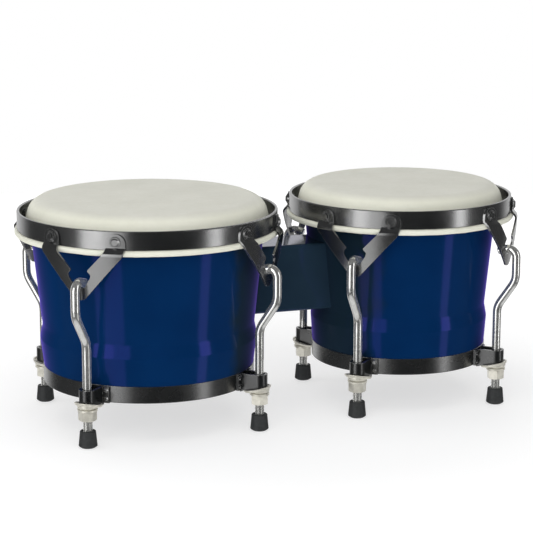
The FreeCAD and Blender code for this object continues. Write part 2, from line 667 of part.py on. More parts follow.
# ---- everything ----------------------------------------------------------------------------------------
def drum_pieces(drum, towards_block):
    """All of one drum's nodes, by name."""
    name = drum["name"] + "_"
    pieces = {
        name + "shell": shell(drum), name + "head_skin": head_skin(drum),
        name + "flesh_hoop": flesh_hoop(drum), name + "counterhoop": counterhoop(drum),
        name + "claw_rivets": claw_rivets(drum), name + "bottom_ring": bottom_ring(drum),
        name + "lug_brackets": lug_brackets(drum), name + "bracket_rivets": bracket_rivets(drum),
        name + "cup_plates": group(cup_plate, drum), name + "washers": group(washer, drum),
        name + "backing_plate": backing_plate(drum, towards_block),
    }
    singles = {"claw": claw, "tension_rod": tension_rod, "tuning_nut": tuning_nut,
               "rubber_foot": rubber_foot}
    for piece, maker in singles.items():
        made = maker(drum)
        for number, angle in enumerate(LUG_ANGLES, 1):
            pieces[f"{name}{piece}_{number}"] = at_lug(made, drum, angle)
    return pieces


def main():
    os.makedirs("parts", exist_ok=True)
    pieces = {"centre_block": centre_block(), "block_bolts": block_bolts(),
              "block_bolt_nuts": block_bolt_nuts(), "block_bolt_washers": block_bolt_washers()}
    pieces.update(drum_pieces(LARGE, 1))
    pieces.update(drum_pieces(SMALL, -1))
    for name, shape in pieces.items():
        shape.exportStep(f"parts/{name}.step")
        print(f"{name}: {len(shape.Solids)} solids, {sum(s.Volume for s in shape.Solids) / 1000:.2f} cm3,",
              "valid" if shape.isValid() else "NOT VALID")


main()
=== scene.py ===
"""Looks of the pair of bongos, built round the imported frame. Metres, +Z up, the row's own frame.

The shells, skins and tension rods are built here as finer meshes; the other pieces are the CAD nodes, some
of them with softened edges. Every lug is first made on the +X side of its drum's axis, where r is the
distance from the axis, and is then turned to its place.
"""
import json
import math

import bmesh
import bpy
from mathutils import Matrix, Vector, noise


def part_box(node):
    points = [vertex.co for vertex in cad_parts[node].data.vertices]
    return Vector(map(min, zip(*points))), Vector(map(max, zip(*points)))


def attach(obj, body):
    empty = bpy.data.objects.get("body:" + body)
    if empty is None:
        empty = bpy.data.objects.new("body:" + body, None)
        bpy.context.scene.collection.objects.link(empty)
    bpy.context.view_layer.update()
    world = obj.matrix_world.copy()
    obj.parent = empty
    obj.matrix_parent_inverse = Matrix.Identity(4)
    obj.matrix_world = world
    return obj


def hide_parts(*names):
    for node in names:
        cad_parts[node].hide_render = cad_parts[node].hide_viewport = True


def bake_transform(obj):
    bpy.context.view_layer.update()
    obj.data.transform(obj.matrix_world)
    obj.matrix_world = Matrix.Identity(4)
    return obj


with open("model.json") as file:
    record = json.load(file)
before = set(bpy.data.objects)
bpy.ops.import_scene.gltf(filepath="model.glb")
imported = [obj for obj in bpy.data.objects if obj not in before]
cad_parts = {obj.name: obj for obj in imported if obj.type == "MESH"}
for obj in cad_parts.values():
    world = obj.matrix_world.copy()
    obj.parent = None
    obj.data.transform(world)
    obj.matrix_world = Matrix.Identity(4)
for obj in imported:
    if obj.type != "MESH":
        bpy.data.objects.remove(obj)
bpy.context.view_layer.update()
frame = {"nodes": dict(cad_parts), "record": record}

MM = 0.001
DRUMS = ["large", "small"]
LUG_ANGLES = [45.0, 135.0, 225.0, 315.0]
AROUND = 288                     # steps round a turned piece
SHARP_EDGE = 35.0                # degrees; sharper edges stay crisp in the shading
MERGE_DISTANCE = 1e-7
ON_AXIS = 1e-9                   # a point nearer to the axis than this lies on it

# ---- shells: details that the frame's boxes don't hold ------------------------------------------------
SHELL_WALL = 6.5 * MM
WAIST_Z, BEAD_Z, SHOULDER_Z = 82.0 * MM, 71.5 * MM, 160.0 * MM
# outer radii in millimetres at the foot, the bead, the waist and the shoulder
SHELL_RADII = {"large": (87.95, 90.7, 88.6, 96.6), "small": (75.15, 76.8, 74.8, 82.4)}
BEARING_INSET, BEARING_INNER_INSET = 11.4 * MM, 18.0 * MM
BEARING_WALL_Z = 175.0 * MM
BEARING_STEPS = 10
BEARING_CLEAR = 0.1 * MM         # between the bearing edge and the skin
RING_THICK = 2.0 * MM
BEAD_ROUND, WAIST_ROUND, SHOULDER_ROUND, BORE_ROUND = 6 * MM, 14 * MM, 120 * MM, 40 * MM
SHELL_RUN = 5 * MM               # longest straight run in the shell's section
BARE_MARGIN = 0.5 * MM           # a face this close to the bore is bare wood

# ---- skins --------------------------------------------------------------------------------------------
SKIN = 1.2 * MM
SKIN_ROUND = 12.8 * MM
COLLAR_SLOPE = 0.2568
TUCK_INSET, TUCK_PROUD, TUCK_ROUND = 5.3 * MM, 2.0 * MM, 2.0 * MM
WRAP_END_INSET = 3.6 * MM
TUCK_RIPPLE = 0.25 * MM
SKIN_RUN = 4 * MM

# ---- tension rods -------------------------------------------------------------------------------------
SHANK = 3.6 * MM
THREAD_CREST, THREAD_ROOT, PITCH = 3.95 * MM, 3.3 * MM, 1.25 * MM
THREAD_TOP = 44.0 * MM
THREAD_PHASES = [0.125, 0.4375, 0.5625, 0.875]   # the corners of one thread, as shares of its pitch
CREST_HALF, FLANK = 0.0625, 0.3125               # half of the crest and one flank, likewise
ROD_AROUND = 36                  # steps round a rod
ROD_RUN = 4 * MM
ROD_BEND_LOW, ROD_BEND_HIGH, ROD_BEND_ROUND = 86.0 * MM, 110.0 * MM, 18.0 * MM
HOOK_RADIUS, HOOK_FALL = 7.0 * MM, math.radians(15.0)
HOOK_TIP_INSET, HOOK_TIP_ROUND = 5.0 * MM, 0.8 * MM
HOOK_TIP_STEPS = 5

# ---- CAD nodes with softened edges: each one's width in millimetres -----------------------------------
SOFT_WIDTHS = {"lug_brackets": 0.4, "bottom_ring": 0.5, "claw_rivets": 0.2, "bracket_rivets": 0.2}
SOFT_WIDTHS.update({f"claw_{number}": 0.4 for number in range(1, 5)})
SOFT_SEGMENTS, SOFT_ANGLE = 3, math.radians(40)

# ---- the shells' painted shade on the side towards the block: millimetres from the upright plane between the drums ---
PAINTED_SHADE_NEAR, PAINTED_SHADE_FAR, PAINTED_SHADE_SPREAD = 56.0, 72.0, 6.0


# ---- measures taken from the frame --------------------------------------------------------------------
def measure(name):
    """One drum's axis, radii and heights, from its nodes' boxes."""
    hoop_low, hoop_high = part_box(f"{name}_counterhoop")
    ring_low, ring_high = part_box(f"{name}_bottom_ring")
    skin_low, skin_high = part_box(f"{name}_head_skin")
    rod_low, rod_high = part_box(f"{name}_tension_rod_1")
    axis_x = (hoop_low.x + hoop_high.x) / 2
    high_run = max(Vector((v.co.x - axis_x, v.co.y)).length
                   for v in frame["nodes"][f"{name}_tension_rod_1"].data.vertices) - SHANK
    foot_low, foot_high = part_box(f"{name}_rubber_foot_1")
    low_run = ((foot_low.x + foot_high.x) / 2 - axis_x) * math.sqrt(2)
    return {
        "name": name, "x": axis_x, "hoop": (hoop_high.x - hoop_low.x) / 2,
        "hoop_bottom": hoop_low.z,
        "ring": (ring_high.x - ring_low.x) / 2, "ring_bottom": ring_low.z, "ring_top": ring_high.z,
        "head_top": skin_high.z, "tuck_bottom": skin_low.z,
        "rod_bottom": rod_low.z, "rod_top": rod_high.z, "high_run": high_run, "low_run": low_run,
    }


# ---- mesh helpers -------------------------------------------------------------------------------------
def rounded(corners, closed=True, per_arc=10):
    """Points of straight runs through (a, b, radius) corners, joined by tangent arcs of those radii."""
    count = len(corners)
    points = []
    for i, (a, b, radius) in enumerate(corners):
        here = Vector((a, b))
        if radius <= 0 or not (closed or 0 < i < count - 1):
            points.append(here)
            continue
        back = (Vector(corners[i - 1][:2]) - here).normalized()
        ahead = (Vector(corners[(i + 1) % count][:2]) - here).normalized()
        half = back.angle(ahead) / 2
        centre = here + (back + ahead).normalized() * (radius / math.sin(half))
        start = here + back * (radius / math.tan(half)) - centre
        turn = math.pi - 2 * half
        if back.x * ahead.y - back.y * ahead.x > 0:
            turn = -turn
        for k in range(per_arc + 1):
            angle = turn * k / per_arc
            points.append(centre + Matrix.Rotation(angle, 2) @ start)
    return points


def spaced(points, longest, closed=True):
    """The same outline, with extra points so that no run is longer than longest."""
    result = []
    count = len(points)
    for i, point in enumerate(points):
        result.append(point)
        if i + 1 == count and not closed:
            break
        following = points[(i + 1) % count]
        pieces = math.ceil((following - point).length / longest)
        result += [point.lerp(following, k / pieces) for k in range(1, pieces)]
    return result


def finished(name, mesh_data, sharp=SHARP_EDGE):
    """An object of a bmesh, shaded smooth except at edges sharper than sharp degrees."""
    bmesh.ops.remove_doubles(mesh_data, verts=mesh_data.verts, dist=MERGE_DISTANCE)
    bmesh.ops.recalc_face_normals(mesh_data, faces=mesh_data.faces)
    mesh = bpy.data.meshes.new(name)
    mesh_data.to_mesh(mesh)
    mesh_data.free()
    mesh.shade_smooth()
    mesh.set_sharp_from_angle(angle=math.radians(sharp))
    made = bpy.data.objects.new(name, mesh)
    bpy.context.scene.collection.objects.link(made)
    return made


def turned(name, section, axis_x, groups=None):
    """A closed section of (r, z) points swept round a drum's axis. groups gives each run's material."""
    work = bmesh.new()
    rings = []
    for step in range(AROUND):
        angle = 2 * math.pi * step / AROUND
        cos, sin = math.cos(angle), math.sin(angle)
        rings.append([work.verts.new((axis_x + p.x * cos, p.x * sin, p.y)) for p in section])
    count = len(section)
    for step in range(AROUND):
        here, following = rings[step], rings[(step + 1) % AROUND]
        for i in range(count):
            j = (i + 1) % count
            if section[i].x < ON_AXIS and section[j].x < ON_AXIS:
                continue
            face = work.faces.new((here[i], here[j], following[j], following[i]))
            face.material_index = groups[i] if groups else 0
    return finished(name, work)


def stacked(name, rings, sharp):
    """A tube through rings of points, closed at both ends."""
    work = bmesh.new()
    made = [[work.verts.new(p) for p in ring] for ring in rings]
    for low, high in zip(made, made[1:]):
        for i in range(len(low)):
            j = (i + 1) % len(low)
            work.faces.new((low[i], low[j], high[j], high[i]))
    work.faces.new(made[0][::-1])
    work.faces.new(made[-1])
    return finished(name, work, sharp)


def paint(piece, *materials):
    """Gives a piece these materials and no others."""
    piece.data.materials.clear()
    for material in materials:
        piece.data.materials.append(material)


# ---- materials ----------------------------------------------------------------------------------------
def map_range(tree, source, start, end, low, high):
    """A node that maps source, from start to end, on to the numbers from low to high."""
    node = tree.nodes.new("ShaderNodeMapRange")
    tree.links.new(source, node.inputs["Value"])
    for key, value in (("From Min", start), ("From Max", end), ("To Min", low), ("To Max", high)):
        node.inputs[key].default_value = value
    return node


class Finish:
    """A small builder of one procedural material, with object coordinates in millimetres."""

    def __init__(self, name):
        self.material = bpy.data.materials.new(name)
        self.material.use_nodes = True
        self.tree = self.material.node_tree
        self.shader = self.tree.nodes["Principled BSDF"]
        where = self.tree.nodes.new("ShaderNodeTexCoord")
        scale = self.tree.nodes.new("ShaderNodeVectorMath")
        scale.operation = "SCALE"
        scale.inputs["Scale"].default_value = 1 / MM
        self.tree.links.new(where.outputs["Object"], scale.inputs[0])
        self.place = scale.outputs[0]

    def put(self, socket, value):
        """Links value to a socket if it is an output of a node, and otherwise sets it there."""
        if isinstance(value, bpy.types.NodeSocket):
            self.tree.links.new(value, socket)
        else:
            socket.default_value = value

    def set(self, **values):
        """Puts values on the shader. A name's underscores stand for spaces."""
        for name, value in values.items():
            self.put(self.shader.inputs[name.replace("_", " ")], value)

    def stretched(self, x, y, z):
        """The object coordinates, each multiplied by its own number."""
        node = self.tree.nodes.new("ShaderNodeVectorMath")
        node.operation = "MULTIPLY"
        self.tree.links.new(self.place, node.inputs[0])
        node.inputs[1].default_value = (x, y, z)
        return node.outputs[0]

    def noise(self, size, detail=3.0, rough=0.5, place=None):
        """Noise whose blotches are about size millimetres."""
        node = self.tree.nodes.new("ShaderNodeTexNoise")
        self.tree.links.new(place or self.place, node.inputs["Vector"])
        node.inputs["Scale"].default_value = 1 / size
        node.inputs["Detail"].default_value = detail
        node.inputs["Roughness"].default_value = rough
        return node.outputs["Fac"]

    def ramp(self, source, low, high, start=0.0, end=1.0):
        """Maps source, from start to end, on to the numbers or colours from low to high."""
        if isinstance(low, (int, float)):
            return map_range(self.tree, source, start, end, low, high).outputs["Result"]
        node = self.tree.nodes.new("ShaderNodeValToRGB")
        self.tree.links.new(source, node.inputs["Fac"])
        node.color_ramp.elements[0].position = start
        node.color_ramp.elements[1].position = end
        node.color_ramp.elements[0].color = (*low, 1)
        node.color_ramp.elements[1].color = (*high, 1)
        return node.outputs["Color"]

    def mixed(self, share, first, second):
        """The colour first where share is 0, going to second where it is 1."""
        node = self.tree.nodes.new("ShaderNodeMix")
        node.data_type = "RGBA"
        self.put(node.inputs["Factor"], share)
        for socket, value in ((node.inputs[6], first), (node.inputs[7], second)):
            self.put(socket, value if isinstance(value, bpy.types.NodeSocket) else (*value, 1))
        return node.outputs[2]

    def bump(self, height, depth, below=None):
        """A bump of depth millimetres where height goes from 0 to 1."""
        node = self.tree.nodes.new("ShaderNodeBump")
        node.inputs["Distance"].default_value = depth * MM
        self.tree.links.new(height, node.inputs["Height"])
        if below:
            self.tree.links.new(below, node.inputs["Normal"])
        return node.outputs["Normal"]

    def summed(self, first, second):
        """The sum of two numbers."""
        node = self.tree.nodes.new("ShaderNodeMath")
        self.tree.links.new(first, node.inputs[0])
        self.tree.links.new(second, node.inputs[1])
        return node.outputs[0]

    def away(self, x):
        """Distance in millimetres from the upright plane across the pair at x."""
        split = self.tree.nodes.new("ShaderNodeSeparateXYZ")
        self.tree.links.new(self.place, split.inputs[0])
        less = self.tree.nodes.new("ShaderNodeMath")
        less.operation = "SUBTRACT"
        self.tree.links.new(split.outputs["X"], less.inputs[0])
        less.inputs[1].default_value = x
        size = self.tree.nodes.new("ShaderNodeMath")
        size.operation = "ABSOLUTE"
        self.tree.links.new(less.outputs[0], size.inputs[0])
        return size.outputs[0]

    def edge_wear_and_highlight(self, radius):
        """About 0 on flat faces, rising towards 1 on edges sharper than radius millimetres."""
        bevel = self.tree.nodes.new("ShaderNodeBevel")
        bevel.inputs["Radius"].default_value = radius * MM
        bevel.samples = 4
        plain = self.tree.nodes.new("ShaderNodeNewGeometry")
        dot = self.tree.nodes.new("ShaderNodeVectorMath")
        dot.operation = "DOT_PRODUCT"
        self.tree.links.new(bevel.outputs[0], dot.inputs[0])
        self.tree.links.new(plain.outputs["Normal"], dot.inputs[1])
        return self.ramp(dot.outputs["Value"], 1.0, 0.0, 0.85, 0.99)


def lacquer(name, deep, shallow, painted_shade=None):
    """High-gloss translucent lacquer with a faint cloudiness and a slow ripple. Its last colour, when given,
    is painted
    shade: a shell is painted darker on its side towards the block; a shell's edges glow violet instead of
    white."""
    finish = Finish(name)
    cloud = finish.noise(40.0, 2.0)
    colour = finish.ramp(cloud, deep, shallow, 0.3, 0.7)
    if painted_shade:
        # painted shade: the shell's colour is mixed towards the darker colour near the block
        spread = finish.ramp(finish.noise(25.0, 2.0), -PAINTED_SHADE_SPREAD, PAINTED_SHADE_SPREAD, 0.3, 0.7)
        reach = finish.summed(finish.away(CENTRE.x / MM), spread)
        share = finish.ramp(reach, 1.0, 0.0, PAINTED_SHADE_NEAR, PAINTED_SHADE_FAR)
        colour = finish.mixed(share, colour, painted_shade)
    ripple = finish.bump(finish.noise(9.0, 1.0), 0.012)
    fine = finish.bump(finish.noise(0.9, 2.0), 0.0006, ripple)
    finish.set(Base_Color=colour, Roughness=0.11, Normal=fine, IOR=1.8, Specular_IOR_Level=0.27,
               Specular_Tint=(0.16, 0.11, 1.0, 1))
    if painted_shade:
        facing = finish.tree.nodes.new("ShaderNodeLayerWeight").outputs["Facing"]
        finish.set(Specular_IOR_Level=finish.ramp(facing, 0.27, 0.0, 0.22, 0.46), Sheen_Weight=1.0,
                   Sheen_Roughness=0.25, Sheen_Tint=(0.30, 0.18, 1.0, 1))
    return finish.material


def powder_coat(name, gloss, rough):
    """Satin black powder coat with a fine orange peel; its edges are painted lighter, partly rubbed wear and
    partly a painted highlight.
    """
    finish = Finish(name)
    peel = finish.bump(finish.noise(0.7, 2.0), 0.0025)
    patches = finish.noise(14.0, 3.0)
    colour = finish.ramp(patches, (0.0045, 0.0055, 0.0060), (0.0065, 0.0075, 0.0080), 0.3, 0.7)
    # painted highlight and wear: sharp edges are painted light grey, partly rubbed paint and partly the
    # bright edge lines that light makes
    colour = finish.mixed(finish.ramp(finish.edge_wear_and_highlight(0.35), 0.0, 0.8), colour, (0.36, 0.365, 0.36))
    finish.set(Base_Color=colour, Roughness=finish.ramp(patches, rough, rough + 0.05, 0.3, 0.7),
               IOR=2.3, Specular_IOR_Level=gloss, Normal=peel)
    return finish.material


def plated(name, colour, shade, rough, rough_high, peel, metallic=1.0):
    """Metal plate with faint smears that change its gloss from rough to rough_high."""
    finish = Finish(name)
    smears = finish.noise(5.0, 4.0, 0.6)
    finish.set(Base_Color=finish.ramp(smears, shade, colour, 0.35, 0.6), Metallic=metallic,
               Sheen_Weight=0.5, Sheen_Roughness=0.35,
               Roughness=finish.ramp(smears, rough, rough_high, 0.35, 0.7),
               Normal=finish.bump(finish.noise(1.2, 2.0), peel))
    return finish.material


def hide(name):
    """Natural hide with pores and faint spots: greyer on the flat head, warmer on the collar, which is
    painted lighter as painted light.
    """
    finish = Finish(name)
    clouds = finish.noise(38.0, 4.0, 0.55)
    spots = finish.noise(5.0, 3.0, 0.6)
    pores = finish.noise(0.55, 2.0, 0.6)
    height = finish.tree.nodes.new("ShaderNodeSeparateXYZ")
    finish.tree.links.new(finish.place, height.inputs[0])
    # painted light: below the flat head the collar is painted lighter, as well as warmer in tone
    side = finish.ramp(height.outputs["Z"], 1.0, 0.0, 184.0, 187.6)
    flat = finish.ramp(clouds, (0.685, 0.683, 0.602), (0.740, 0.737, 0.658), 0.3, 0.7)
    collar = finish.ramp(clouds, (0.80, 0.80, 0.68), (0.86, 0.86, 0.745), 0.3, 0.7)
    colour = finish.mixed(side, flat, collar)
    colour = finish.mixed(finish.ramp(spots, 0.0, 0.10, 0.45, 0.75), colour, (0.63, 0.60, 0.50))
    soft = finish.bump(clouds, 0.12)
    finish.set(Base_Color=colour, Roughness=finish.ramp(spots, 0.48, 0.62, 0.3, 0.7),
               Specular_IOR_Level=0.35, Normal=finish.bump(pores, 0.03, soft))
    return finish.material


def rubber(name):
    """Matt dark grey rubber with a little dust."""
    finish = Finish(name)
    dust = finish.noise(2.2, 4.0, 0.6)
    colour = finish.ramp(dust, (0.022, 0.024, 0.025), (0.036, 0.039, 0.040), 0.35, 0.65)
    finish.set(Base_Color=colour, Roughness=finish.ramp(dust, 0.55, 0.72, 0.3, 0.7),
               Specular_IOR_Level=0.4, Normal=finish.bump(finish.noise(0.35, 2.0), 0.02))
    return finish.material


def bare_wood(name):
    """The unlacquered inside of a shell, with its grain running up the staves."""
    finish = Finish(name)
    grain = finish.noise(1.6, 5.0, 0.6, finish.stretched(1.0, 1.0, 0.05))
    bands = finish.noise(11.0, 2.0, 0.5, finish.stretched(1.0, 1.0, 0.12))
    colour = finish.ramp(grain, (0.30, 0.17, 0.075), (0.52, 0.34, 0.17), 0.35, 0.65)
    colour = finish.mixed(finish.ramp(bands, 0.0, 0.5, 0.4, 0.65), colour, (0.38, 0.22, 0.10))
    finish.set(Base_Color=colour, Roughness=0.62, Normal=finish.bump(grain, 0.06))
    return finish.material


# ---- pieces built here --------------------------------------------------------------------------------
def skin_underside(drum):
    """The skin's inner face from the drum's axis, over the edge, down the collar and round the tuck."""
    hoop, tuck = drum["hoop"], drum["tuck_bottom"]
    under = drum["head_top"] - SKIN
    edge = hoop - TUCK_INSET - (under - tuck) * COLLAR_SLOPE
    return [
        (0.0, under, 0.0), (edge, under, SKIN_ROUND), (hoop - TUCK_INSET, tuck, TUCK_ROUND),
        (hoop + TUCK_PROUD, tuck, TUCK_ROUND), (hoop + TUCK_PROUD, drum["hoop_bottom"], TUCK_ROUND),
        (hoop - WRAP_END_INSET, drum["hoop_bottom"], 0.0),
    ]


def beside(path, thickness):
    """The corners of the face that lies thickness to the left of path."""
    moved = []
    for i, (a, b, radius) in enumerate(path):
        here = Vector((a, b))
        before = (here - Vector(path[i - 1][:2])).normalized() if i else None
        after = (Vector(path[i + 1][:2]) - here).normalized() if i + 1 < len(path) else None
        first, second = before or after, after or before
        normal = Vector((-first.y - second.y, first.x + second.x))
        share = thickness / (-first.y * normal.x + first.x * normal.y)
        turn = first.x * second.y - first.y * second.x
        other = max(radius + (-thickness if turn > 0 else thickness), 0.0) if radius else 0.0
        moved.append((a + normal.x * share, b + normal.y * share, other))
    return moved


def build_skin(drum, material):
    """The head, with a faint ripple in its tuck."""
    name = f"{drum['name']}_skin"
    under = skin_underside(drum)
    section = rounded(under + beside(under, SKIN)[::-1], per_arc=14)
    piece = turned(name, spaced(section, SKIN_RUN), drum["x"])
    for vertex in piece.data.vertices:
        if vertex.co.z < drum["hoop_bottom"] + MM:
            shift = noise.noise(vertex.co * 60.0) + 0.5 * noise.noise(vertex.co * 170.0)
            vertex.co.z += TUCK_RIPPLE * shift
    paint(piece, material)
    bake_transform(piece)
    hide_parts(f"{drum['name']}_head_skin")


def bore_radius(drum, z):
    """The radius of the shell's inner wall at a height."""
    low = SHELL_RADII[drum["name"]][2] * MM - SHELL_WALL
    high = drum["hoop"] - BEARING_INNER_INSET
    share = max(0.0, (z - WAIST_Z) / (BEARING_WALL_Z - WAIST_Z))
    return low + (high - low) * share


def build_shell(drum, outside, inside):
    """The shell, lacquered outside and bare inside, with its bearing edge just inside the skin's curve."""
    foot_r, bead_r, waist_r, shoulder_r = (value * MM for value in SHELL_RADII[drum["name"]])
    under = skin_underside(drum)[1]
    turn = math.pi / 2 - math.atan(COLLAR_SLOPE)
    centre = Vector((under[0] - SKIN_ROUND * math.tan(turn / 2), under[1] - SKIN_ROUND))
    radius = SKIN_ROUND - BEARING_CLEAR
    edge_out, edge_in = drum["hoop"] - BEARING_INSET, drum["hoop"] - BEARING_INNER_INSET
    steps = [edge_out + (edge_in - edge_out) * k / BEARING_STEPS for k in range(BEARING_STEPS + 1)]
    edge = [Vector((r, centre.y + math.sqrt(radius ** 2 - (r - centre.x) ** 2))) for r in steps]
    foot = drum["ring_bottom"] + RING_THICK
    seat = drum["ring"] - RING_THICK
    up = rounded([(bore_radius(drum, 0), foot, 0), (seat, foot, 0), (seat, drum["ring_top"], 0),
                  (foot_r, drum["ring_top"], 0), (bead_r, BEAD_Z, BEAD_ROUND),
                  (waist_r, WAIST_Z, WAIST_ROUND),
                  (shoulder_r, SHOULDER_Z, SHOULDER_ROUND), (edge[0].x, edge[0].y, 0)], False, 24)
    down = rounded([(edge[-1].x, edge[-1].y, 0), (edge_in, BEARING_WALL_Z, 0),
                    (bore_radius(drum, WAIST_Z), WAIST_Z, BORE_ROUND), (bore_radius(drum, 0), foot, 0)],
                   False, 12)
    section = spaced(up + edge[1:-1] + down[:-1], SHELL_RUN)
    groups = []
    for i, point in enumerate(section):
        middle = (point + section[(i + 1) % len(section)]) / 2
        at_bore = middle.x < bore_radius(drum, middle.y) + BARE_MARGIN
        bare = at_bore or middle.y < drum["ring_top"] - MM
        groups.append(1 if bare or middle.y > edge[0].y else 0)
    piece = turned(f"{drum['name']}_shell_lacquered", section, drum["x"], groups)
    paint(piece, outside, inside)
    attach(piece, "root")
    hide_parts(f"{drum['name']}_shell")


def thread_radius(phase):
    """Radius of the M8 thread at a phase from 0 to 1 of its pitch."""
    share = min(max((abs(phase - 0.5) - CREST_HALF) / FLANK, 0.0), 1.0)
    return THREAD_CREST + (THREAD_ROOT - THREAD_CREST) * share


def thread_rings(drum):
    """Rings up the threaded foot of a rod. Each point follows the helix, so the crests stay crisp."""
    low = drum["low_run"]
    turns = math.ceil((THREAD_TOP - drum["rod_bottom"]) / PITCH) + 1
    rings = []
    for turn in range(-1, turns):
        for phase in THREAD_PHASES:
            ring = []
            for k in range(ROD_AROUND):
                z = drum["rod_bottom"] + (turn + phase + k / ROD_AROUND) * PITCH
                z = min(max(z, drum["rod_bottom"]), THREAD_TOP)
                radius = thread_radius(phase)
                fade = min(max((z - THREAD_TOP + 2 * PITCH) / (2 * PITCH), 0.0), 1.0)
                radius += (SHANK - radius) * fade
                angle = 2 * math.pi * k / ROD_AROUND
                ring.append(Vector((low + radius * math.cos(angle), radius * math.sin(angle), z)))
            rings.append(ring)
    return rings


def shank_rings(drum):
    """Rings along the plain part of a rod: up, outwards, up again and over the hook to its tip."""
    low, high = drum["low_run"], drum["high_run"]
    tip_r = drum["hoop"] - HOOK_TIP_INSET
    half_turn = (math.pi / 2 + HOOK_FALL) / 2
    axis_top = drum["rod_top"] - SHANK
    corner_z = axis_top - HOOK_RADIUS + HOOK_RADIUS * math.tan(half_turn)
    tip_z = corner_z - (high - tip_r) * math.tan(HOOK_FALL)
    path = rounded([(low, THREAD_TOP, 0), (low, ROD_BEND_LOW, ROD_BEND_ROUND),
                    (high, ROD_BEND_HIGH, ROD_BEND_ROUND), (high, corner_z, HOOK_RADIUS),
                    (tip_r, tip_z, 0)], False, 16)
    path = spaced(path, ROD_RUN, False)
    rings = []
    for i, point in enumerate(path):
        before = point - path[i - 1] if i else path[1] - point
        after = path[i + 1] - point if i + 1 < len(path) else before
        along = (before.normalized() + after.normalized()).normalized()
        if i == 0:
            along = Vector((0, 1))
        rings.append((point, along, SHANK))
    end, along, _ = rings.pop()
    for k in range(HOOK_TIP_STEPS + 1):
        angle = math.pi / 2 * k / HOOK_TIP_STEPS
        rings.append((end - along * HOOK_TIP_ROUND * (1 - math.sin(angle)), along,
                      SHANK - HOOK_TIP_ROUND * (1 - math.cos(angle))))
    made = []
    for point, along, radius in rings:
        ring = []
        for k in range(ROD_AROUND):
            angle = 2 * math.pi * k / ROD_AROUND
            out = Vector((along.y, -along.x)) * radius * math.cos(angle)
            ring.append(Vector((point.x + out.x, radius * math.sin(angle), point.y + out.y)))
        made.append(ring)
    return made


def at_lug(rings, drum, angle):
    """The same rings, turned to a lug's angle on their drum."""
    place = Matrix.Translation((drum["x"], 0, 0)) @ Matrix.Rotation(math.radians(angle), 4, "Z")
    return [[place @ p for p in ring] for ring in rings]


def build_rods(drum, material):
    """The four tension rods of a drum, each threaded at its foot and hooked at its top."""
    rings = thread_rings(drum) + shank_rings(drum)
    for number, angle in enumerate(LUG_ANGLES, 1):
        piece = stacked(f"{drum['name']}_rod_{number}", at_lug(rings, drum, angle), 32.0)
        paint(piece, material)
        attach(piece, f"{drum['name']}_tension")
        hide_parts(f"{drum['name']}_tension_rod_{number}")


# ---- CAD nodes that stay ------------------------------------------------------------------------------
def soften(node, width):
    """Rounds the sharp edges of a CAD node by width metres."""
    bevel = frame["nodes"][node].modifiers.new("softened edges", "BEVEL")
    bevel.width = width
    bevel.segments = SOFT_SEGMENTS
    bevel.limit_method = "ANGLE"
    bevel.angle_limit = SOFT_ANGLE


def dress_nodes(slots):
    """Paints every CAD node that shows. The rings are duller than the hoops, the brackets duller still."""
    for entry in frame["record"]["subparts"]:
        node = frame["nodes"][entry["node"]]
        if not node.hide_render:
            paint(node, slots[entry["material_slot"]])
    duller = powder_coat("duller_powder_coat", 0.62, 0.24)
    dullest = powder_coat("dullest_powder_coat", 0.35, 0.26)
    for name in DRUMS:
        for part, width in SOFT_WIDTHS.items():
            soften(f"{name}_{part}", width * MM)
        paint(frame["nodes"][f"{name}_bottom_ring"], duller)
        paint(frame["nodes"][f"{name}_lug_brackets"], dullest)


# ---- stage, light and camera --------------------------------------------------------------------------
CENTRE = Vector((0.006, 0.0, 0.09))
FLOOR_RADIUS = 1.1
CAMERA_PLACE = Vector((-0.56281, -1.56325, 0.47413))
CAMERA_AZIMUTH, CAMERA_ELEVATION, CAMERA_ROLL = -19.706, 12.008, 0.079
CAMERA_LENS, CAMERA_SENSOR = 134.52, 36.0
CAMERA_CLIP = (0.05, 50.0)
FLOOR_DROP = 0.05 * MM           # keeps the floor just under the feet
FLOOR_SEGMENTS = 128

# name, azimuth, elevation, distance, width, height, radiance, and the one kind of light that it gives
LIGHTS = [
    ("top_light", -20, 78, 1.6, 2.0, 2.0, 1.25, "diffuse"),
    ("front_fill", -20, 22, 2.0, 2.4, 1.4, 1.9, "diffuse"),
    ("left_fill", -105, 22, 2.0, 2.0, 1.6, 1.2, "diffuse"),
    ("left_softbox", -65, 10, 4.0, 1.56, 3.55, 2.35, "glossy"),
    ("left_softbox_edge", -45.5, 10, 4.0, 1.2, 3.55, 1.2, "glossy"),
    ("right_softbox", 42, 10, 2.8, 0.64, 2.5, 2.4, "glossy"),
    ("left_low_glow", -59, -23, 4.0, 1.95, 1.35, 0.85, "glossy"),
    ("right_low_glow", 42, -23, 2.8, 0.50, 0.95, 1.1, "glossy"),
]

# the studio's brightness: from and to, as cosines or heights of a direction, then the strengths there
BEHIND = (0.50, 0.86, 0.0, 1.0)
SIDES = (-0.75, -0.40, 0.025, 0.08)
BELOW = (-0.62, -0.80, 0.0, 0.5)


def towards(azimuth, elevation):
    """The direction from the object at an azimuth clockwise from the front, -Y, and an elevation."""
    a, e = math.radians(azimuth), math.radians(elevation)
    return Vector((math.sin(a) * math.cos(e), -math.cos(a) * math.cos(e), math.sin(e)))


def softbox(name, azimuth, elevation, distance, width, height, radiance, kind):
    """An area light that faces the object and is seen by one kind of ray only, diffuse or glossy."""
    light = bpy.data.lights.new(name, "AREA")
    light.shape = "RECTANGLE"
    light.size, light.size_y = width, height
    light.energy = radiance * math.pi * width * height
    lamp = bpy.data.objects.new(name, light)
    direction = towards(azimuth, elevation)
    lamp.location = CENTRE + direction * distance
    lamp.rotation_euler = direction.to_track_quat("Z", "Y").to_euler()
    lamp.visible_diffuse = kind == "diffuse"
    lamp.visible_glossy = kind == "glossy"
    bpy.context.scene.collection.objects.link(lamp)


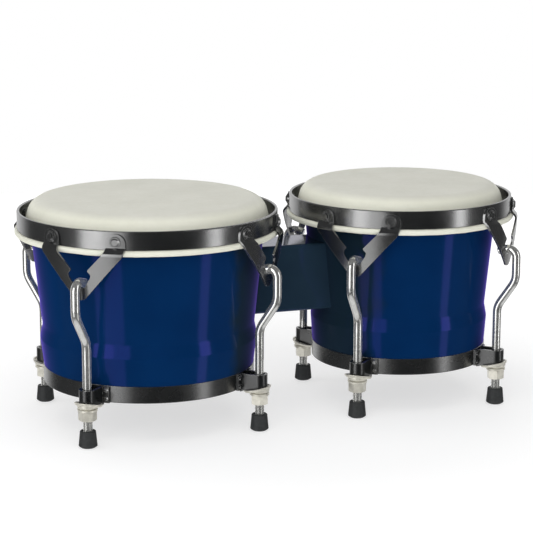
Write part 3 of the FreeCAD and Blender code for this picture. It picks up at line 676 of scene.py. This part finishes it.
def build_floor():
    """A round pale floor that brightens outwards until it meets the white backdrop."""
    work = bmesh.new()
    bmesh.ops.create_circle(work, cap_ends=True, segments=FLOOR_SEGMENTS, radius=FLOOR_RADIUS)
    mesh = bpy.data.meshes.new("floor")
    work.to_mesh(mesh)
    work.free()
    floor = bpy.data.objects.new("floor", mesh)
    floor.location = (CENTRE.x, 0, -FLOOR_DROP)
    bpy.context.scene.collection.objects.link(floor)
    finish = Finish("pale_floor")
    distance = finish.tree.nodes.new("ShaderNodeVectorMath")
    distance.operation = "LENGTH"
    finish.tree.links.new(finish.place, distance.inputs[0])
    glow = finish.ramp(distance.outputs["Value"], 0.62, 1.0, 200.0, 900.0)
    finish.set(Base_Color=finish.ramp(finish.noise(300.0), (0.46, 0.46, 0.46), (0.48, 0.48, 0.48)),
               Roughness=0.9, Specular_IOR_Level=0.0, Emission_Color=(1, 1, 1, 1),
               Emission_Strength=glow)
    paint(floor, finish.material)
    floor.visible_glossy = False
    floor.visible_shadow = False


def build_world():
    """White where the camera looks past the floor. Light and reflections see a studio that is dark in
    front, dim at the sides, and bright behind and below."""
    world = bpy.data.worlds.new("studio")
    world.use_nodes = True
    bpy.context.scene.world = world
    tree = world.node_tree
    tree.nodes.clear()
    add = tree.nodes.new
    where = add("ShaderNodeTexCoord")
    behind = add("ShaderNodeVectorMath")
    behind.operation = "DOT_PRODUCT"
    behind.inputs[1].default_value = towards(CAMERA_AZIMUTH + 180, 0)
    tree.links.new(where.outputs["Generated"], behind.inputs[0])
    back = map_range(tree, behind.outputs["Value"], *BEHIND)
    back.interpolation_type = "SMOOTHSTEP"
    sides = map_range(tree, behind.outputs["Value"], *SIDES)
    split = add("ShaderNodeSeparateXYZ")
    tree.links.new(where.outputs["Generated"], split.inputs[0])
    below = map_range(tree, split.outputs["Z"], *BELOW)
    glow = below.outputs["Result"]
    for part in (sides, back):
        total = add("ShaderNodeMath")
        tree.links.new(glow, total.inputs[0])
        tree.links.new(part.outputs["Result"], total.inputs[1])
        glow = total.outputs[0]
    studio = add("ShaderNodeBackground")
    studio.inputs["Color"].default_value = (1, 1, 1, 1)
    tree.links.new(glow, studio.inputs["Strength"])
    seen = add("ShaderNodeBackground")
    seen.inputs["Color"].default_value = (1, 1, 1, 1)
    path = add("ShaderNodeLightPath")
    mix = add("ShaderNodeMixShader")
    out = add("ShaderNodeOutputWorld")
    tree.links.new(path.outputs["Is Camera Ray"], mix.inputs["Fac"])
    tree.links.new(studio.outputs[0], mix.inputs[1])
    tree.links.new(seen.outputs[0], mix.inputs[2])
    tree.links.new(mix.outputs[0], out.inputs["Surface"])


def build_camera():
    """The photograph's camera."""
    data = bpy.data.cameras.new("camera")
    data.lens = CAMERA_LENS
    data.sensor_width = CAMERA_SENSOR
    data.clip_start, data.clip_end = CAMERA_CLIP
    camera = bpy.data.objects.new("camera", data)
    back = towards(CAMERA_AZIMUTH, CAMERA_ELEVATION)
    roll = Matrix.Rotation(math.radians(CAMERA_ROLL), 3, "Z").to_quaternion()
    camera.rotation_euler = (back.to_track_quat("Z", "Y") @ roll).to_euler()
    camera.location = CAMERA_PLACE
    bpy.context.scene.collection.objects.link(camera)
    bpy.context.scene.camera = camera


# ---- everything ---------------------------------------------------------------------------------------
def main():
    """Builds the stage, the materials and every piece."""
    build_camera()
    build_floor()
    build_world()
    for light in LIGHTS:
        softbox(*light)
    bpy.context.scene.view_settings.view_transform = "Standard"
    slots = {
        # the shell lacquer's third colour is painted shade on the side towards the block
        "shell_lacquer": lacquer("blue_lacquer", (0.0012, 0.0215, 0.084), (0.0016, 0.0255, 0.097),
                                 (0.0104, 0.0245, 0.038)),
        "block_lacquer": lacquer("navy_lacquer", (0.0135, 0.029, 0.045), (0.0165, 0.036, 0.055)),
        "hide": hide("natural_hide"),
        "black_steel": powder_coat("black_powder_coat", 0.93, 0.20),
        "chrome": plated("chrome_plate", (0.90, 0.90, 0.88), (0.80, 0.80, 0.78), 0.06, 0.10, 0.0, 0.85),
        "nickel": plated("nickel_plate", (0.80, 0.775, 0.685), (0.64, 0.62, 0.54),
                         0.30, 0.42, 0.003, 0.38),
        "zinc_steel": plated("zinc_plate", (0.62, 0.63, 0.64), (0.50, 0.51, 0.52), 0.30, 0.42, 0.004),
        "foot_rubber": rubber("grey_rubber"),
    }
    wood = bare_wood("bare_wood")
    for drum in [measure(name) for name in DRUMS]:
        build_shell(drum, slots["shell_lacquer"], wood)
        build_skin(drum, slots["hide"])
        build_rods(drum, slots["chrome"])
    dress_nodes(slots)


main()
